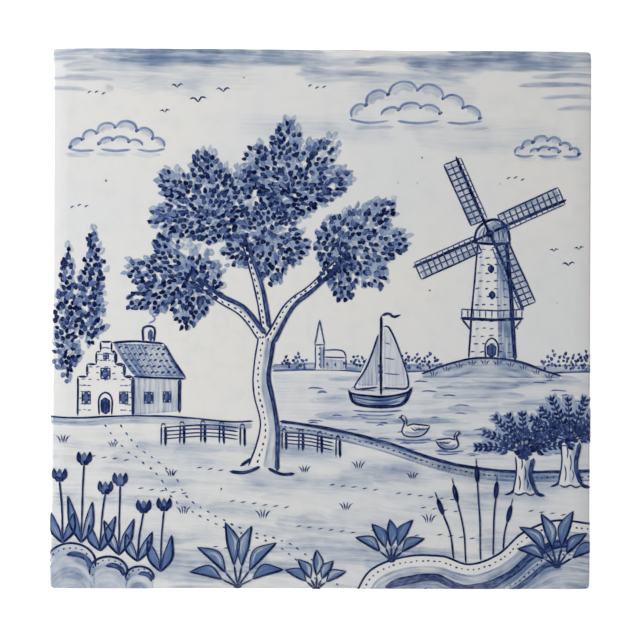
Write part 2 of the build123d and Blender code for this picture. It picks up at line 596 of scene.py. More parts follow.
def cobalt_line(name, paint):
    """Loaded cobalt: the depth of its blue goes by the load, with hairs of the brush, a
    thinner edge, and a rim just inside it where the colour gathered."""
    f = Finish(name)
    along, across, seed, load, edge, _ = brush_marks(f)
    place = object_place(f)
    hairs = f.node("ShaderNodeCombineXYZ", i0=f.product(along, 0.5), i1=f.product(across, 1.6),
                   i2=seed).outputs[0]
    depth = f.product(load, f.between(f.noise(hairs, scale=1.3), 0.25, 0.75, 0.78, 1.16),
                      f.between(edge, 0.0, 0.14, 0.86, 1.04), f.between(edge, 0.2, 0.5, 1.0, 0.86))
    uneven = f.product(f.maths("SUBTRACT", f.noise(place, scale=120.0), 0.5), 0.2)
    depth = f.maths("ADD", depth, uneven, clamp=True)
    colour = f.ramp(depth, [(0.0, paint.dry), (0.25, paint.pale), (0.5, paint.middle),
                            (0.75, paint.deep), (1.0, paint.darkest)])
    return f.finished(Base_Color=colour, Roughness=GLOSS, IOR=GLASS_IOR,
                      Normal=glaze_relief(f, place))


def cobalt_wash(name, paint):
    """Thinned cobalt: the glaze shows through between the hairs, the colour gathers in a rim
    just inside a wet edge, and a dry edge breaks up along the hairs."""
    f = Finish(name)
    along, across, seed, load, edge, soft = brush_marks(f)
    place = object_place(f)
    hairs = f.node("ShaderNodeCombineXYZ", i0=f.product(along, 0.10), i1=f.product(across, 1.5),
                   i2=seed).outputs[0]
    streak = f.noise(hairs, scale=1.0, detail=3.0, rough=0.6)
    load = f.product(load, paint.wash_strength)
    depth = f.product(load, f.between(streak, 0.3, 0.72, 0.3, 1.27),
                      f.between(f.noise(place, scale=140.0, detail=3.0), 0.3, 0.7, 0.6, 1.35))
    rim = f.product(f.between(edge, 0.1, 0.35), f.between(edge, 0.35, 0.8, 1.0, 0.0),
                    f.between(soft, 0.35, 0.6, 1.0, 0.0), load)
    depth = f.maths("ADD", depth, f.product(rim, 0.35), clamp=True)
    fade = f.maths("DIVIDE", edge, soft, clamp=True)
    broken = f.product(f.maths("SUBTRACT", streak, 0.5), f.maths("SUBTRACT", 1.0, fade), 1.6)
    cover = f.between(f.maths("ADD", f.product(fade, 1.3), broken), 0.0, 1.15)
    solid = f.product(f.maths("MULTIPLY", depth, 1.25, clamp=True), cover)
    colour = f.blend(depth, (*paint.wash_light, 1), (*paint.wash_deep, 1))
    return f.finished(Base_Color=colour, Roughness=GLOSS, IOR=GLASS_IOR, Alpha=solid,
                      Normal=glaze_relief(f, place))


def iron_speck(name, glaze):
    """Iron burnt into the glaze: dark in a speck, a thin brown bloom in a stain."""
    f = Finish(name)
    load, edge, soft = brush_marks(f)[3:]
    colour = f.blend(f.between(load, 0.3, 0.9), (*glaze.stain, 1), (*glaze.speck, 1))
    solid = f.product(f.between(f.maths("DIVIDE", edge, soft), 0.0, 1.0), load)
    return f.finished(Base_Color=colour, Roughness=0.3, IOR=GLASS_IOR, Alpha=solid)


def glaze_material(context):
    """The tin glaze."""
    return finish_named("fired_tin_glaze", tin_glaze, context.scene.delft_glaze)


def line_material(context):
    """The loaded cobalt."""
    return finish_named("cobalt_line", cobalt_line, context.scene.delft_paint)


def wash_material(context):
    """The thinned cobalt."""
    return finish_named("cobalt_wash", cobalt_wash, context.scene.delft_paint)


def speck_material(context):
    """The burnt iron."""
    return finish_named("iron_speck", iron_speck, context.scene.delft_glaze)


# Things in the picture


# Arcs of a cloud, each (start, end, height)
CLOUD_HUMPS = [
    ((-15, 0), (-11.5, 3.0), 1.6), ((-11.5, 3.0), (-6.2, 5.6), 2.2), ((-6.2, 5.6), (1.0, 6.8), 2.6),
    ((1.0, 6.8), (7.2, 4.8), 2.3), ((7.2, 4.8), (12.0, 2.6), 1.9), ((12.0, 2.6), (16.0, 0), 1.5),
    ((-8.0, 0.6), (-3.6, 2.0), 1.2), ((-3.6, 2.0), (1.8, 2.6), 1.4), ((1.8, 2.6), (6.4, 1.2), 1.2),
]


def scalloped_cloud(line, wash, x, y, size, flip):
    """A flat-bottomed cloud: a row of arcs along its top and a shorter one inside it."""
    at = pinned(x, y, size, flip)
    for start, end, height in CLOUD_HUMPS:
        a, b = np.array([start, end], float)
        way = b - a
        up = np.array([-way[1], way[0]])
        up = up / np.hypot(*up) * height
        arc = (a, a + 0.18 * way + 0.75 * up, a + 0.5 * way + up, b - 0.18 * way + 0.75 * up, b)
        line.stroke(at(*arc), 0.62, 0.46, (0.6, 0.8), dry=0.3)
        wash.stroke(at(a + 0.1 * way, a + 0.5 * way + 0.5 * up, b - 0.1 * way), 2.2, 0.22, (1, 1),
                    cells=5, soft=0.8)
        line.dabs(*at(b)[0], 0.4, 1.2, 0.85, 0.6)
    for k, (x0, x1) in enumerate(((-15.5, -6), (-4, 6), (8, 16.5))):
        line.stroke(at((x0, -0.4 - 0.3 * k), ((x0 + x1) / 2, -1.2), (x1, -0.6)), 0.6, 0.4, (1, 2),
                    dry=0.3)
        wash.stroke(at((x0 + 1, -2.4), (x1 + 2, -2.2)), 1.8, 0.2, (2, 4), cells=4, soft=0.7)


def bird(line, x, y, size):
    """A bird far off: two short curved strokes that meet."""
    at = pinned(x, y, size)
    line.stroke(at((-2.0, 0.7), (-1.0, 1.1), (0, 0)), 0.42, 0.8, (0.4, 0.3))
    line.stroke(at((0, 0), (0.9, 1.3), (2.1, 1.0)), 0.42, 0.8, (0.3, 0.6))


def trunk(line, wash, white, path, widths, dotted=True):
    """A trunk or bough between two lines that stand off its path by half its width: a thin one
    on the left and a broad one on the right with a wash beside it. A dotted one has a row of
    dots inside the thin line."""
    p = smooth_path(path)
    side = left_of(p)
    stations, at = np.linspace(0, 1, len(widths)), np.linspace(0, 1, len(p))
    half = np.interp(at, stations, widths)[:, None] / 2
    half = half * (1 + 0.1 * line.slow(len(p), 7))[:, None]
    left, right = p + side * half, p - side * half
    every = slice(None, None, 3)
    white.fill(left[every], right[every])
    wash.fill((p + side * half * 0.1)[every], right[every], 0.34, 0.7, hair=0.5)
    line.stroke(left[every], 0.42, 0.84)
    line.stroke(right[every], 1.05, 0.8)
    if dotted:
        line.dashes((p + side * (half * 0.46 - 0.16))[every], 0.8, 0.75, 0.4, 0.88)


def windmill(line, wash, white, x, y):
    """A tower mill: a tapering brick tower with a stage, a cap and four latticed sails."""
    at = pinned(x, y)
    white.fill(at((-5.6, 0), (-4.6, 14), (-3.4, 28), (-2.6, 32)),
               at((5.7, 0), (4.7, 14), (3.5, 28), (2.6, 32)))
    wash.fill(at((1.5, 0), (1.1, 15), (0.8, 28)), at((5.4, 0), (4.5, 15), (3.4, 28)), 0.46)
    wash.fill(at((-4.6, 0), (-3.9, 15), (-2.9, 28)), at((-2.6, 0), (-2.2, 15), (-1.6, 28)),
              0.14, 0.6)
    line.stroke(at((-5.6, 0), (-4.6, 14), (-3.4, 28)), 0.45, 0.84)
    line.stroke(at((5.7, -0.3), (4.7, 14), (3.5, 28)), 0.95, 0.88)
    for k, level in enumerate(np.arange(1.6, 27, 1.9)):
        half = 5.2 - 2.2 * level / 28
        if abs(level - 10.6) > 1.2:
            line.dashes(at((-half + 0.5 + 0.6 * (k % 2), level), (half - 0.7, level)), 1.15, 0.85,
                        0.34, 0.66)
    line.stroke(at((-1.5, 0), (-1.5, 3.4), (0, 5), (1.5, 3.4), (1.5, 0)), 0.45, 0.85)
    line.stroke(at((0, 0.3), (0, 3.6)), 2.3, 0.8, (0.1, 0.8), cells=3)
    for wx, wy in ((0.1, 15.3), (-0.2, 21.6)):
        line.stroke(at((wx, wy - 1.0), (wx, wy + 1.1)), 1.5, 0.88, (0.3, 0.6), cells=3)
    for level, width, load in ((9.7, 0.75, 0.88), (11.9, 0.36, 0.75)):
        line.stroke(at((-7.6, level), (0, level - 0.3), (7.7, level)), width, load)
    for k in np.linspace(-7.3, 7.3, 11):
        line.stroke(at((k, 9.8), (k, 11.9)), 0.3, 0.72, (0.2, 0.2))
    for k in (-1, 1):
        line.stroke(at((k * 7.2, 9.5), (k * 4.9, 6.6)), 0.45, 0.8)
    wash.fill(at((-3.6, 28), (-3.0, 31), (0.6, 33.4)), at((3.8, 28), (3.7, 31), (0.8, 33.4)), 0.55)
    line.stroke(at((-4.4, 28.1), (-3.6, 31.2), (-1.2, 33.2), (1.4, 33.4), (3.7, 31.4), (4.3, 28)),
                0.6, 0.85)
    line.stroke(at((-4.6, 28), (0, 27.7), (4.6, 27.9)), 0.7, 0.88)
    for k in (-2.4, -1.0, 0.4, 1.8, 3.0):
        line.stroke(at((k, 28.4), (k * 0.75, 32.2 - 0.25 * abs(k))), 0.3, 0.7, (0.2, 0.4))
    hub = (-0.6, 30.2)
    for turn in (24, 114, 204, 294):
        arm = pinned(x + hub[0], y + hub[1], turn=turn)
        wash.fill(arm((3.6, 0.4), (19.2, 0.2)), arm((3.6, 3.2), (19.2, 3.4)), 0.26)
        line.stroke(arm((-1.2, 0), (9, 0.1), (20.3, 0)), 0.72, 0.9, (0.4, 0.8))
        line.stroke(arm((3.4, 3.3), (19.6, 3.5)), 0.42, 0.82)
        line.stroke(arm((3.6, 1.75), (19.5, 1.8)), 0.28, 0.7)
        for k in np.arange(3.5, 20, 1.45):
            line.stroke(arm((k, -0.9), (k + 0.1, 3.5)), 0.34, 0.78, (0.2, 0.3))
        line.stroke(arm((3.5, -0.9), (19.6, -0.9)), 0.3, 0.7)
    line.dabs(x + hub[0], y + hub[1], 0, 2.0, 1.8, 0.98, 0, 0)


def stepped_house(line, wash, white, x, y):
    """A brick house whose front gable goes up in steps, with a tiled roof to the right."""
    at = pinned(x, y)
    white.fill(at((0, 0), (0, 9.4)), at((24.4, 0), (24.4, 9.2)))
    white.fill(at((2.2, 9.4), (5.4, 17.8)), at((25.2, 9.3), (20.6, 17.4)))
    wash.fill(at((13.0, 0), (13.0, 9.5)), at((24.2, 1.0), (24.2, 9.2)), 0.3)
    wash.fill(at((8.2, 17.5), (9.4, 15.2), (11.3, 12.2), (13.3, 9.6)),
              at((20.5, 17.3), (25.4, 9.3)), 0.56)
    steps = [(0, 0), (0, 9.4), (2.2, 9.4), (2.2, 12.4), (4.4, 12.4), (4.4, 15.4), (5.4, 15.4),
             (5.4, 17.8), (8.0, 17.8), (8.0, 15.4), (9.0, 15.4), (9.0, 12.4), (11.1, 12.4),
             (11.1, 9.4), (13.2, 9.4), (13.2, 0)]
    for k, (a, b) in enumerate(zip(steps, steps[1:])):
        line.stroke(at(a, b), 0.5 if k < 9 else 0.8, 0.85, (0.1, 0.1), 0.04)
    line.lines([at((8.2, 17.6), (14, 17.9), (20.6, 17.4)),
                at((20.6, 17.3), (23, 13.2), (25.8, 9.1)),
                at((13.3, 9.5), (19, 9.2), (25.8, 9.0))], width=0.55, load=0.86)
    line.stroke(at((24.4, 9.0), (24.4, 0.8)), 0.8, 0.86)
    for row in range(5):
        level = 10.6 + 1.45 * row
        line.dashes(at((13.4 - 0.85 * row, level), (24.6 - 0.95 * row, level - 0.2)), 1.0, 0.45,
                    0.42, 0.8, turn=0.5)
    # Courses of bricks, each with its level and the half width of the gable there
    middle, halves = 6.6, (6.0, 6.0, 6.0, 6.0, 6.0, 6.0, 4.0, 4.0, 1.9, 1.9, 0.9)
    for k, (level, half) in enumerate(zip(np.arange(1.3, 16.5, 1.5), halves)):
        gap = 3.9 if level < 8.4 else 0.0
        for x0, x1 in ((middle - half, middle - gap), (middle + gap, middle + half)):
            if x1 - x0 > 0.8:
                line.dashes(at((x0 + 0.5 * (k % 2), level), (x1, level)), 1.0, 0.8, 0.3, 0.55)
    line.stroke(at((5.1, 0.2), (5.1, 4.2), (6.6, 5.6), (8.1, 4.2), (8.1, 0.2)), 0.45, 0.85)
    line.stroke(at((6.6, 0.4), (6.6, 4.4)), 2.2, 0.82, (0.1, 0.9), cells=3)
    square = dict(taper=(0.1, 0.1), wobble=0.02)
    for wx, wy, w, h in ((2.0, 4.4, 1.9, 2.7), (11.0, 4.4, 1.9, 2.7), (6.6, 10.2, 2.1, 2.4),
                         (6.7, 14.4, 1.1, 1.3), (17.0, 4.4, 2.0, 2.6), (21.4, 4.6, 1.8, 2.4)):
        line.stroke(at((wx, wy - h / 2), (wx, wy + h / 2)), w, 0.74, cells=3, **square)
        up, across = h / 2 + 0.2, w / 2 + 0.2
        for s in (-0.5, 0.5):
            line.stroke(at((wx + s * w, wy - up), (wx + s * w, wy + up)), 0.34, 0.9, **square)
            line.stroke(at((wx - across, wy + s * h), (wx + across, wy + s * h)), 0.34, 0.9,
                        **square)
    line.stroke(at((15.6, 17.8), (15.6, 21.2), (18.2, 21.2), (18.2, 17.7)), 0.5, 0.84)
    line.stroke(at((17.3, 18.0), (17.3, 20.8)), 1.2, 0.62, cells=3)
    for k in range(3):
        line.stroke(at((16.8 + k, 22.2 + 1.6 * k), (18.4 + k, 23.2 + 1.6 * k),
                       (17.6 + k, 24.6 + 1.5 * k), (19.4 + 1.3 * k, 25.0 + 1.5 * k)), 0.4, 0.4,
                    (0.5, 0.8))


def sailing_boat(line, wash, white, x, y, size):
    """A small flat-bottomed boat with a mainsail, a foresail and a pennant."""
    at = pinned(x, y, size)
    white.fill(at((-0.4, 2.2), (-0.4, 16.2)), at((-6.6, 2.2), (-0.8, 15.6)))
    white.fill(at((0.9, 2.3), (0.8, 18.2)), at((7.4, 2.6), (6.2, 9), (2.4, 17.6)))
    white.fill(at((-8.0, 1.4), (0, 0.2), (8.5, 2.2)), at((-6.4, -1.9), (0, -2.7), (6.4, -1.7)))
    wash.fill(at((-7.6, 0.9), (0, -0.1), (8.0, 1.6)), at((-6.4, -1.9), (0, -2.6), (6.2, -1.7)),
              0.66)
    wash.fill(at((0.9, 2.4), (0.9, 18.0)), at((7.2, 2.6), (6.0, 9), (2.4, 17.4)), 0.16)
    wash.fill(at((-0.3, 2.6), (-0.1, 16.0)), at((-6.2, 2.4), (-0.6, 15.6)), 0.3)
    line.stroke(at((-8.2, 1.6), (-7.0, 0.6), (0, -0.2), (6.6, 0.7), (8.6, 2.4)), 0.6, 0.9)
    line.stroke(at((-8.0, 1.4), (-6.8, -1.6), (-3, -2.6), (3, -2.7), (6.4, -1.7), (8.5, 2.2)),
                0.85, 0.92)
    line.stroke(at((-7.2, -0.2), (0, -1.3), (7.2, 0.2)), 0.32, 0.8)
    line.stroke(at((0.3, 0.2), (0.3, 21)), 0.6, 0.9)
    line.stroke(at((0.9, 2.3), (4, 2.0), (7.5, 2.5), (6.2, 9), (2.6, 17.6), (0.8, 18.2)),
                0.45, 0.82)
    line.stroke(at((-0.4, 16.2), (-3.2, 8), (-6.6, 2.2), (-3.4, 2.0), (-0.4, 2.4)), 0.42, 0.8)
    line.lines([at((1.1, h), (7.1 - 0.3 * h, h - 0.4)) for h in (6, 10, 14)], width=0.28, load=0.6)
    line.stroke(at((0.4, 21), (2.2, 21.6), (3.6, 20.7), (5.4, 21.3)), 0.7, 0.8, (0.2, 2.0))
    for k in range(4):
        line.stroke(at((-7 + k, -3.8 - k), (-1 + k, -4.1 - k), (6 - 2 * k, -3.8 - k)), 0.4,
                    0.5 - 0.05 * k, (1, 1.6))


def swan(line, wash, white, x, y, size, flip=1.0):
    """A swan on the water, with its neck up and two ripples below it."""
    at = pinned(x, y, size, flip)
    white.fill(at((-3.4, 1.6), (0, 2.4), (4.6, 1.9)), at((-3.6, 0), (0, -1.4), (4.4, 1.6)))
    wash.fill(at((-3.6, 0.7), (0, 0.3), (3.8, 1.6)), at((-2.6, -0.9), (0, -1.3), (3.0, -0.3)), 0.3)
    line.stroke(at((-3.1, 4.9), (-4.0, 5.1), (-4.1, 4.2), (-3.1, 3.2), (-3.5, 1.6), (-3.9, 0.2),
                   (-2.8, -1.1), (0, -1.4), (2.8, -0.6), (4.6, 1.9)), 0.42, 0.85)
    line.stroke(at((-3.1, 4.9), (-2.7, 4.2), (-2.3, 3.0), (-2.5, 1.9), (-0.8, 2.5), (1.6, 2.3),
                   (4.6, 1.9)), 0.38, 0.82)
    line.stroke(at((-4.0, 4.7), (-4.9, 4.2)), 0.5, 0.95)
    line.lines([at((-1.2 + k, 1.5), (0.2 + k, 0.5 + 0.1 * k), (1.8 + k, 1.4))
                for k in (0, 1.1, 2.1)], width=0.32, load=0.75)
    line.lines([at((-6, -2.0), (-1, -2.4), (5, -2.0)), at((-4, -3.0), (1, -3.3), (4, -3.0))],
               width=0.36, load=0.55)


def church(line, wash, white, x, y):
    """A small church on the far shore: a spire and a nave."""
    at = pinned(x, y)
    white.fill(at((0, 0), (0, 6)), at((2, 0), (2, 6)))
    white.fill(at((2, 0), (2, 4.6)), at((7.3, 0), (7.2, 3)))
    wash.fill(at((0.8, 0), (0.8, 5.8)), at((1.9, 0), (1.9, 5.8)), 0.4)
    wash.fill(at((1.9, 0), (1.9, 2.8)), at((7.2, 0), (7.2, 2.4)), 0.25)
    line.lines([at((0, 0), (0, 6)), at((2, 0), (2, 6)), at((-0.2, 6), (1, 12)),
                at((1, 12), (2.2, 6)), at((-0.3, 6), (2.3, 6)), at((2, 3), (7.4, 2.9)),
                at((2, 4.7), (6.4, 4.6), (7.5, 2.8)), at((7.3, 2.8), (7.3, 0))],
               width=0.36, load=0.7)
    line.dashes(at((1, 1.2), (1, 5.2)), 0.6, 0.9, 0.5, 0.7)
    line.dashes(at((2.9, 1.4), (6.8, 1.4)), 0.9, 0.8, 0.45, 0.7, turn=1.57)


def pollard(line, pale, leaves, front, wash, white, x, y, height):
    """A pollard willow: a short thick trunk with furrowed bark and a fan of leafy rods."""
    at = pinned(x, y)

    def out(reach, turn):
        """A place at that reach from the trunk's head, turned by that much from straight up."""
        return reach * math.sin(turn), height + 0.4 + 0.92 * reach * math.cos(turn)

    trunk(line, wash, white, at((0, -0.3), (-0.3, height * 0.4), (0.2, height + 0.8)),
          (5.4, 3.3, 4.6), dotted=False)
    for k, low, high in ((-1.2, 0.04, 0.46), (0.1, 0.3, 0.72), (-0.7, 0.6, 0.95),
                         (0.7, 0.08, 0.36)):
        line.stroke(at((k, low * height), (k + 0.25, (low + high) / 2 * height),
                       (k - 0.1, high * height)), 0.34, 0.74, (0.5, 0.9))
    for turn in np.radians(np.linspace(-82, 82, 9) + line.rng.uniform(-4, 4, 9)):
        reach = 10.6 + line.rng.uniform(-1.2, 1.2)
        rod = at(out(0.6, turn), out(0.6 * reach, turn * 0.94), out(reach, turn))
        line.stroke(rod, 0.34, 0.8)
        pale.sprig(rod, 2.3, 1.6, 0.3, 0.35, 1.4)
        leaves.sprig(rod, 1.7, 0.84, 0.84, 0.3, 1.25)
    for turn in np.radians((-75, -38, 0, 38, 75)):
        front.foliage([(at(out(0.5, turn))[0], at(out(4.2, turn))[0], 1.5)], 1.5, 0.86, 0.95, 0.8)
    line.stroke(at((-2.5, 0.9), (-3.2, -0.2), (-4.8, -0.7)), 0.5, 0.85)
    line.stroke(at((2.5, 0.9), (3.2, -0.4), (5.0, -0.9)), 0.9, 0.86)
    line.stroke(at((-2.6, -0.1), (-1.2, -0.8), (0.2, -0.2), (1.4, -0.9), (2.8, -0.3)), 0.4, 0.8)


def leaf(line, wash, white, root, thin_side, thick_side, tip, load=0.7):
    """A long leaf from root to tip, filled with blue that is darker towards one side, between
    a fine line and a thicker one."""
    white.fill([root, thin_side, tip], [root, thick_side, tip])
    middle = 0.6 * np.asarray(thin_side) + 0.4 * np.asarray(thick_side)
    wash.fill([root, thin_side, tip], [root, thick_side, tip], load, 0.2, hair=0.5)
    wash.fill([root, middle, tip], [root, thick_side, tip], load * 0.7, 0.4)
    line.stroke([root, thin_side, tip], 0.34, 0.86)
    line.stroke([root, thick_side, tip], 0.55, 0.9, (0.6, 1.2))


def tulip(line, wash, white, x, y, height, lean):
    """A tulip: a stem between two leaves, and a cup of three pointed petals."""
    rng = line.rng
    top = (x + lean, y + height)
    for s in (-1, 1):
        reach = height * rng.uniform(0.45, 0.62)
        tip = (x + s * (2.6 + rng.uniform(0, 1.4)), y + reach)
        leaf(line, wash, white, (x, y), (x + s * 0.9, y + reach * 0.5),
             (x + s * 2.8, y + reach * 0.40), tip)
    line.stroke([(x, y), (x + 0.25 * lean, y + 0.5 * height), top], 0.45, 0.84)
    tx, ty = top
    line.dabs([tx - 0.95, tx + 0.95, tx, tx - 0.5, tx + 0.5],
              [ty + 1.5, ty + 1.5, ty + 1.2, ty + 0.4, ty + 0.4],
              angle=[1.85, 1.29, 1.57, 2.3, 0.85], length=[3.0, 3.0, 3.2, 1.6, 1.6],
              width=[1.35, 1.35, 1.5, 1.3, 1.3], load=[0.86, 0.93, 0.62, 0.9, 0.95],
              bend=[0.1, -0.1, 0, 0, 0])


def bulrush(line, x, y, height, lean):
    """A bulrush: a stem, a long dark head and the tip of the stem above it."""
    top = np.array([x + lean, y + height])
    line.stroke([(x, y), (x + 0.3 * lean, y + 0.55 * height), top], 0.42, 0.84)
    way = np.array([0.7 * lean, 0.45 * height]) / math.hypot(0.7 * lean, 0.45 * height)
    head = top + 1.8 * way
    line.dabs(*head, math.atan2(way[1], way[0]), 4.6, 1.25, 0.95, 0.0, 0.0)
    line.stroke([head + 2.0 * way, head + 3.9 * way], 0.3, 0.8)


def leaf_fan(line, wash, white, x, y, count, reach, spread, load=0.7):
    """A clump of long leaves on stalks that fan out from one root and droop at the sides."""
    rng = line.rng
    for turn in np.linspace(-spread, spread, count):
        turn = math.radians(90 - turn + rng.uniform(-3, 3))
        size = reach * rng.uniform(0.85, 1.1) * (1 - 0.15 * abs(math.cos(turn)))
        way = np.array([math.cos(turn), math.sin(turn)])
        under = np.array([way[1], -way[0]]) * (1 if way[0] > 0 else -1)
        foot = np.array([x, y]) + way * 0.6
        root = foot + way * size * 0.3
        tip = foot + way * size + under * size * 0.16 * abs(way[0])
        middle = foot + way * size * 0.66 - under * size * 0.05
        half = 0.045 * size + 0.75
        line.stroke([foot, foot + way * size * 0.16, root], 0.5, 0.86, (0.2, 0.3))
        leaf(line, wash, white, root, middle - under * half, middle + under * half, tip, load)
    line.dabs([x], [y + 0.2], 0.0, 2.0, 1.2, 0.92, 0, 0)


def grass(line, x, y, size, count=4):
    """A tuft of short blades."""
    at = pinned(x, y, size)
    for k in np.linspace(-1, 1, count):
        line.stroke(at((k * 0.7, 0), (k * 1.0, 1.2), (k * 1.9, 2.4 - 0.5 * abs(k))), 0.36, 0.72,
                    (0.3, 1.2))


def fence(line, path, posts, height):
    """A fence: posts with pointed tops, and two rails of two lines each."""
    p = smooth_path(path, 0.5)
    for level, width in ((0.42, 0.32), (0.82, 0.37)):
        for shift in (-0.45, 0.45):
            line.stroke(p[::6] + (0, level * height + shift), width, 0.8)
    for x, y in p[np.linspace(0, len(p) - 1, posts).astype(int)]:
        line.stroke([(x - 0.5, y), (x - 0.45, y + height)], 0.38, 0.84, (0.2, 0.2))
        line.stroke([(x + 0.55, y - 0.2), (x + 0.5, y + height - 0.1)], 0.62, 0.88, (0.2, 0.2))
        line.stroke([(x - 0.6, y + height), (x, y + height + 0.8), (x + 0.6, y + height)],
                    0.4, 0.86, (0.2, 0.2))


# The thick of the glaze


def tile_outline():
    """The tile's widest outline, walked once round: a straight side and a quarter of a circle
    at its end, four times, each a quarter turn on from the one before."""
    straight = HALF_SIDE - TILE_CORNER
    along = np.linspace(-straight, straight, SIDE_POINTS)
    edge = np.stack([np.full(SIDE_POINTS, HALF_SIDE), along], 1)
    turns = np.linspace(0, math.pi / 2, CORNER_POINTS)[1:-1]
    bend = straight + TILE_CORNER * np.stack([np.cos(turns), np.sin(turns)], 1)
    quarter = np.array([[0, 1], [-1, 0]])
    side = np.vstack([edge, bend])
    return np.vstack([side @ np.linalg.matrix_power(quarter, k) for k in range(4)])


def run_surface(settings):
    """Places in mm, quads and shares of the way down of the skin that the glaze formed on the
    sides. Its foot is a sum of sine waves round the tile. At a share v of the way down, it
    stands proud of the side by its thickness times v^1.5 times sqrt(1 - b^2), where b goes
    from 0 to 1 in the bead at its foot, and elsewhere it sinks in."""
    rng = np.random.default_rng(5)
    p = tile_outline()
    straight = HALF_SIDE - TILE_CORNER
    out = (p - np.clip(p, -straight, straight)) / TILE_CORNER
    n = len(p)
    turn = np.arange(n) / n * 2 * math.pi
    waves = [rng.uniform(0.3, 1) * np.sin(k * turn + rng.uniform(0, 6.3)) / k**0.5
             for k in RUN_WAVES]
    foot = settings.run_height / MM + RUN_SWING * np.sum(waves, 0)
    thick = settings.run_thickness / MM * (1 + 0.3 * np.sin(9 * turn + 1) * np.sin(23 * turn))
    bead_top = 1 - RUN_BEAD
    rolled = np.sin(np.linspace(0.3, 1, 6) * math.pi / 2)
    v = np.append(np.linspace(0, bead_top, 8), 1 - RUN_BEAD * (1 - rolled))
    z = RUN_TOP + (foot[:, None] - RUN_TOP) * v
    swell = v**1.5 * np.sqrt(np.clip(1 - ((v - bead_top) / RUN_BEAD).clip(0, 1) ** 2, 0, 1))
    proud = thick[:, None] * swell - RUN_SUNK * (1 - swell)
    shift = proud - SIDE_LEAN * (WIDEST_HEIGHT - z)
    x, y = (p[:, k, None] + out[:, k, None] * shift for k in (0, 1))
    quads = grid_faces(n + 1, len(v))[:, ::-1] % (n * len(v))
    return np.stack([x, y, z], 2).reshape(-1, 3), quads, np.tile(v, n)


# The steps


class DELFT_OT_glaze_tile(bpy.types.Operator):
    """Gives the pressed tile its tin glaze and leaves the lower sides and the back bare"""

    bl_idname = "delft.glaze_tile"
    bl_label = "Glaze the tile"

    def execute(self, context):
        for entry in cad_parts["tile"].material_slots:
            entry.link = "OBJECT"
            entry.material = glaze_material(context)
        return {"FINISHED"}


class DELFT_OT_run_glaze(bpy.types.Operator):
    """Lets the thick of the glaze run down the sides to an uneven rolled line"""

    bl_idname = "delft.run_glaze"
    bl_label = "Run the glaze"

    def execute(self, context):
        places, quads, down = run_surface(context.scene.delft_glaze)
        piece = new_piece("glaze_run", places * MM, quads, glaze_material(context))
        thick = piece.data.attributes.new("thick", "FLOAT", "POINT")
        thick.data.foreach_set("value", down.astype(np.float32))
        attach(piece, "root")
        return {"FINISHED"}


class DELFT_OT_paint_sky(bpy.types.Operator):
    """Paints the streaks along the top edge, the clouds and the birds"""

    bl_idname = "delft.paint_sky"
    bl_label = "Paint the sky"

    def execute(self, context):
        line, wash = line_brush(context, 11), Brushwork(12)
        rng = wash.rng
        for _ in range(9):
            x0, y, reach = rng.uniform(-60, 30), rng.uniform(38, 60), rng.uniform(20, 40)
            wash.stroke([(x0, y), (x0 + reach / 2, y + rng.uniform(-2, 2)), (x0 + reach, y - 1)],
                        rng.uniform(6, 11), rng.uniform(0.04, 0.075), (8, 8), cells=12, soft=3.5)
        for _ in range(44):
            depth = rng.uniform() ** 1.7
            x0, reach = rng.uniform(-72, 48), rng.uniform(12, 44)
            y = 65.1 - (6 + 2.5 * math.sin((x0 + reach / 2) / 13)) * depth
            wash.stroke([(x0, y), (x0 + reach / 2, y + rng.normal(0, 0.5)), (x0 + reach, y - 0.6)],
                        rng.uniform(1.4, 3.6), rng.uniform(0.14, 0.5) * (1 - 0.55 * depth),
                        (5, 8), cells=8, dry=0.5, soft=1.1)
        for x0, y, reach, load in ((47, 56.5, 22, 0.3), (52, 53.6, 18, 0.26), (56, 50.8, 14, 0.2),
                                   (34, 62.6, 38, 0.34), (42, 60.4, 30, 0.3), (50, 58.6, 22, 0.26),
                                   (-70, 57.2, 20, 0.22), (-72, 54.8, 16, 0.16)):
            wash.stroke([(x0, y), (x0 + reach / 2, y + 0.5), (x0 + reach, y)], 1.7, load, (4, 3),
                        cells=6, soft=0.7)
        for x, y, size, flip in ((22, 48.5, 1.0, 1), (-49, 41, 0.72, -1), (54, 40, 0.5, 1)):
            scalloped_cloud(line, wash, x, y, size, flip)
        for x, y, size in ((-30, 52, 1.0), (-24, 54.5, 0.85), (-35, 55.5, 0.7), (-38, 49.5, 0.6),
                           (59.5, 13, 0.75), (62, 17, 0.6), (56, 16.5, 0.55)):
            bird(line, x, y, size)
        for x, y in ((-60, 27), (-3, 56), (45, 34), (-56, 54)):
            line.dabs(x + np.arange(3) * 1.7, y + rng.uniform(-0.4, 0.4, 3), 0.5, 1.1, 0.34, 0.7)
        wash.lay("paint_sky_wash", "far wash", wash_material(context))
        line.lay("paint_sky_lines", "far lines", line_material(context))
        return {"FINISHED"}


# The near bank of the canal, from left to right
NEAR_BANK = [(-10, -24.6), (2, -26.4), (16, -29.8), (30, -34.4), (46, -36.6), (66, -36.4)]


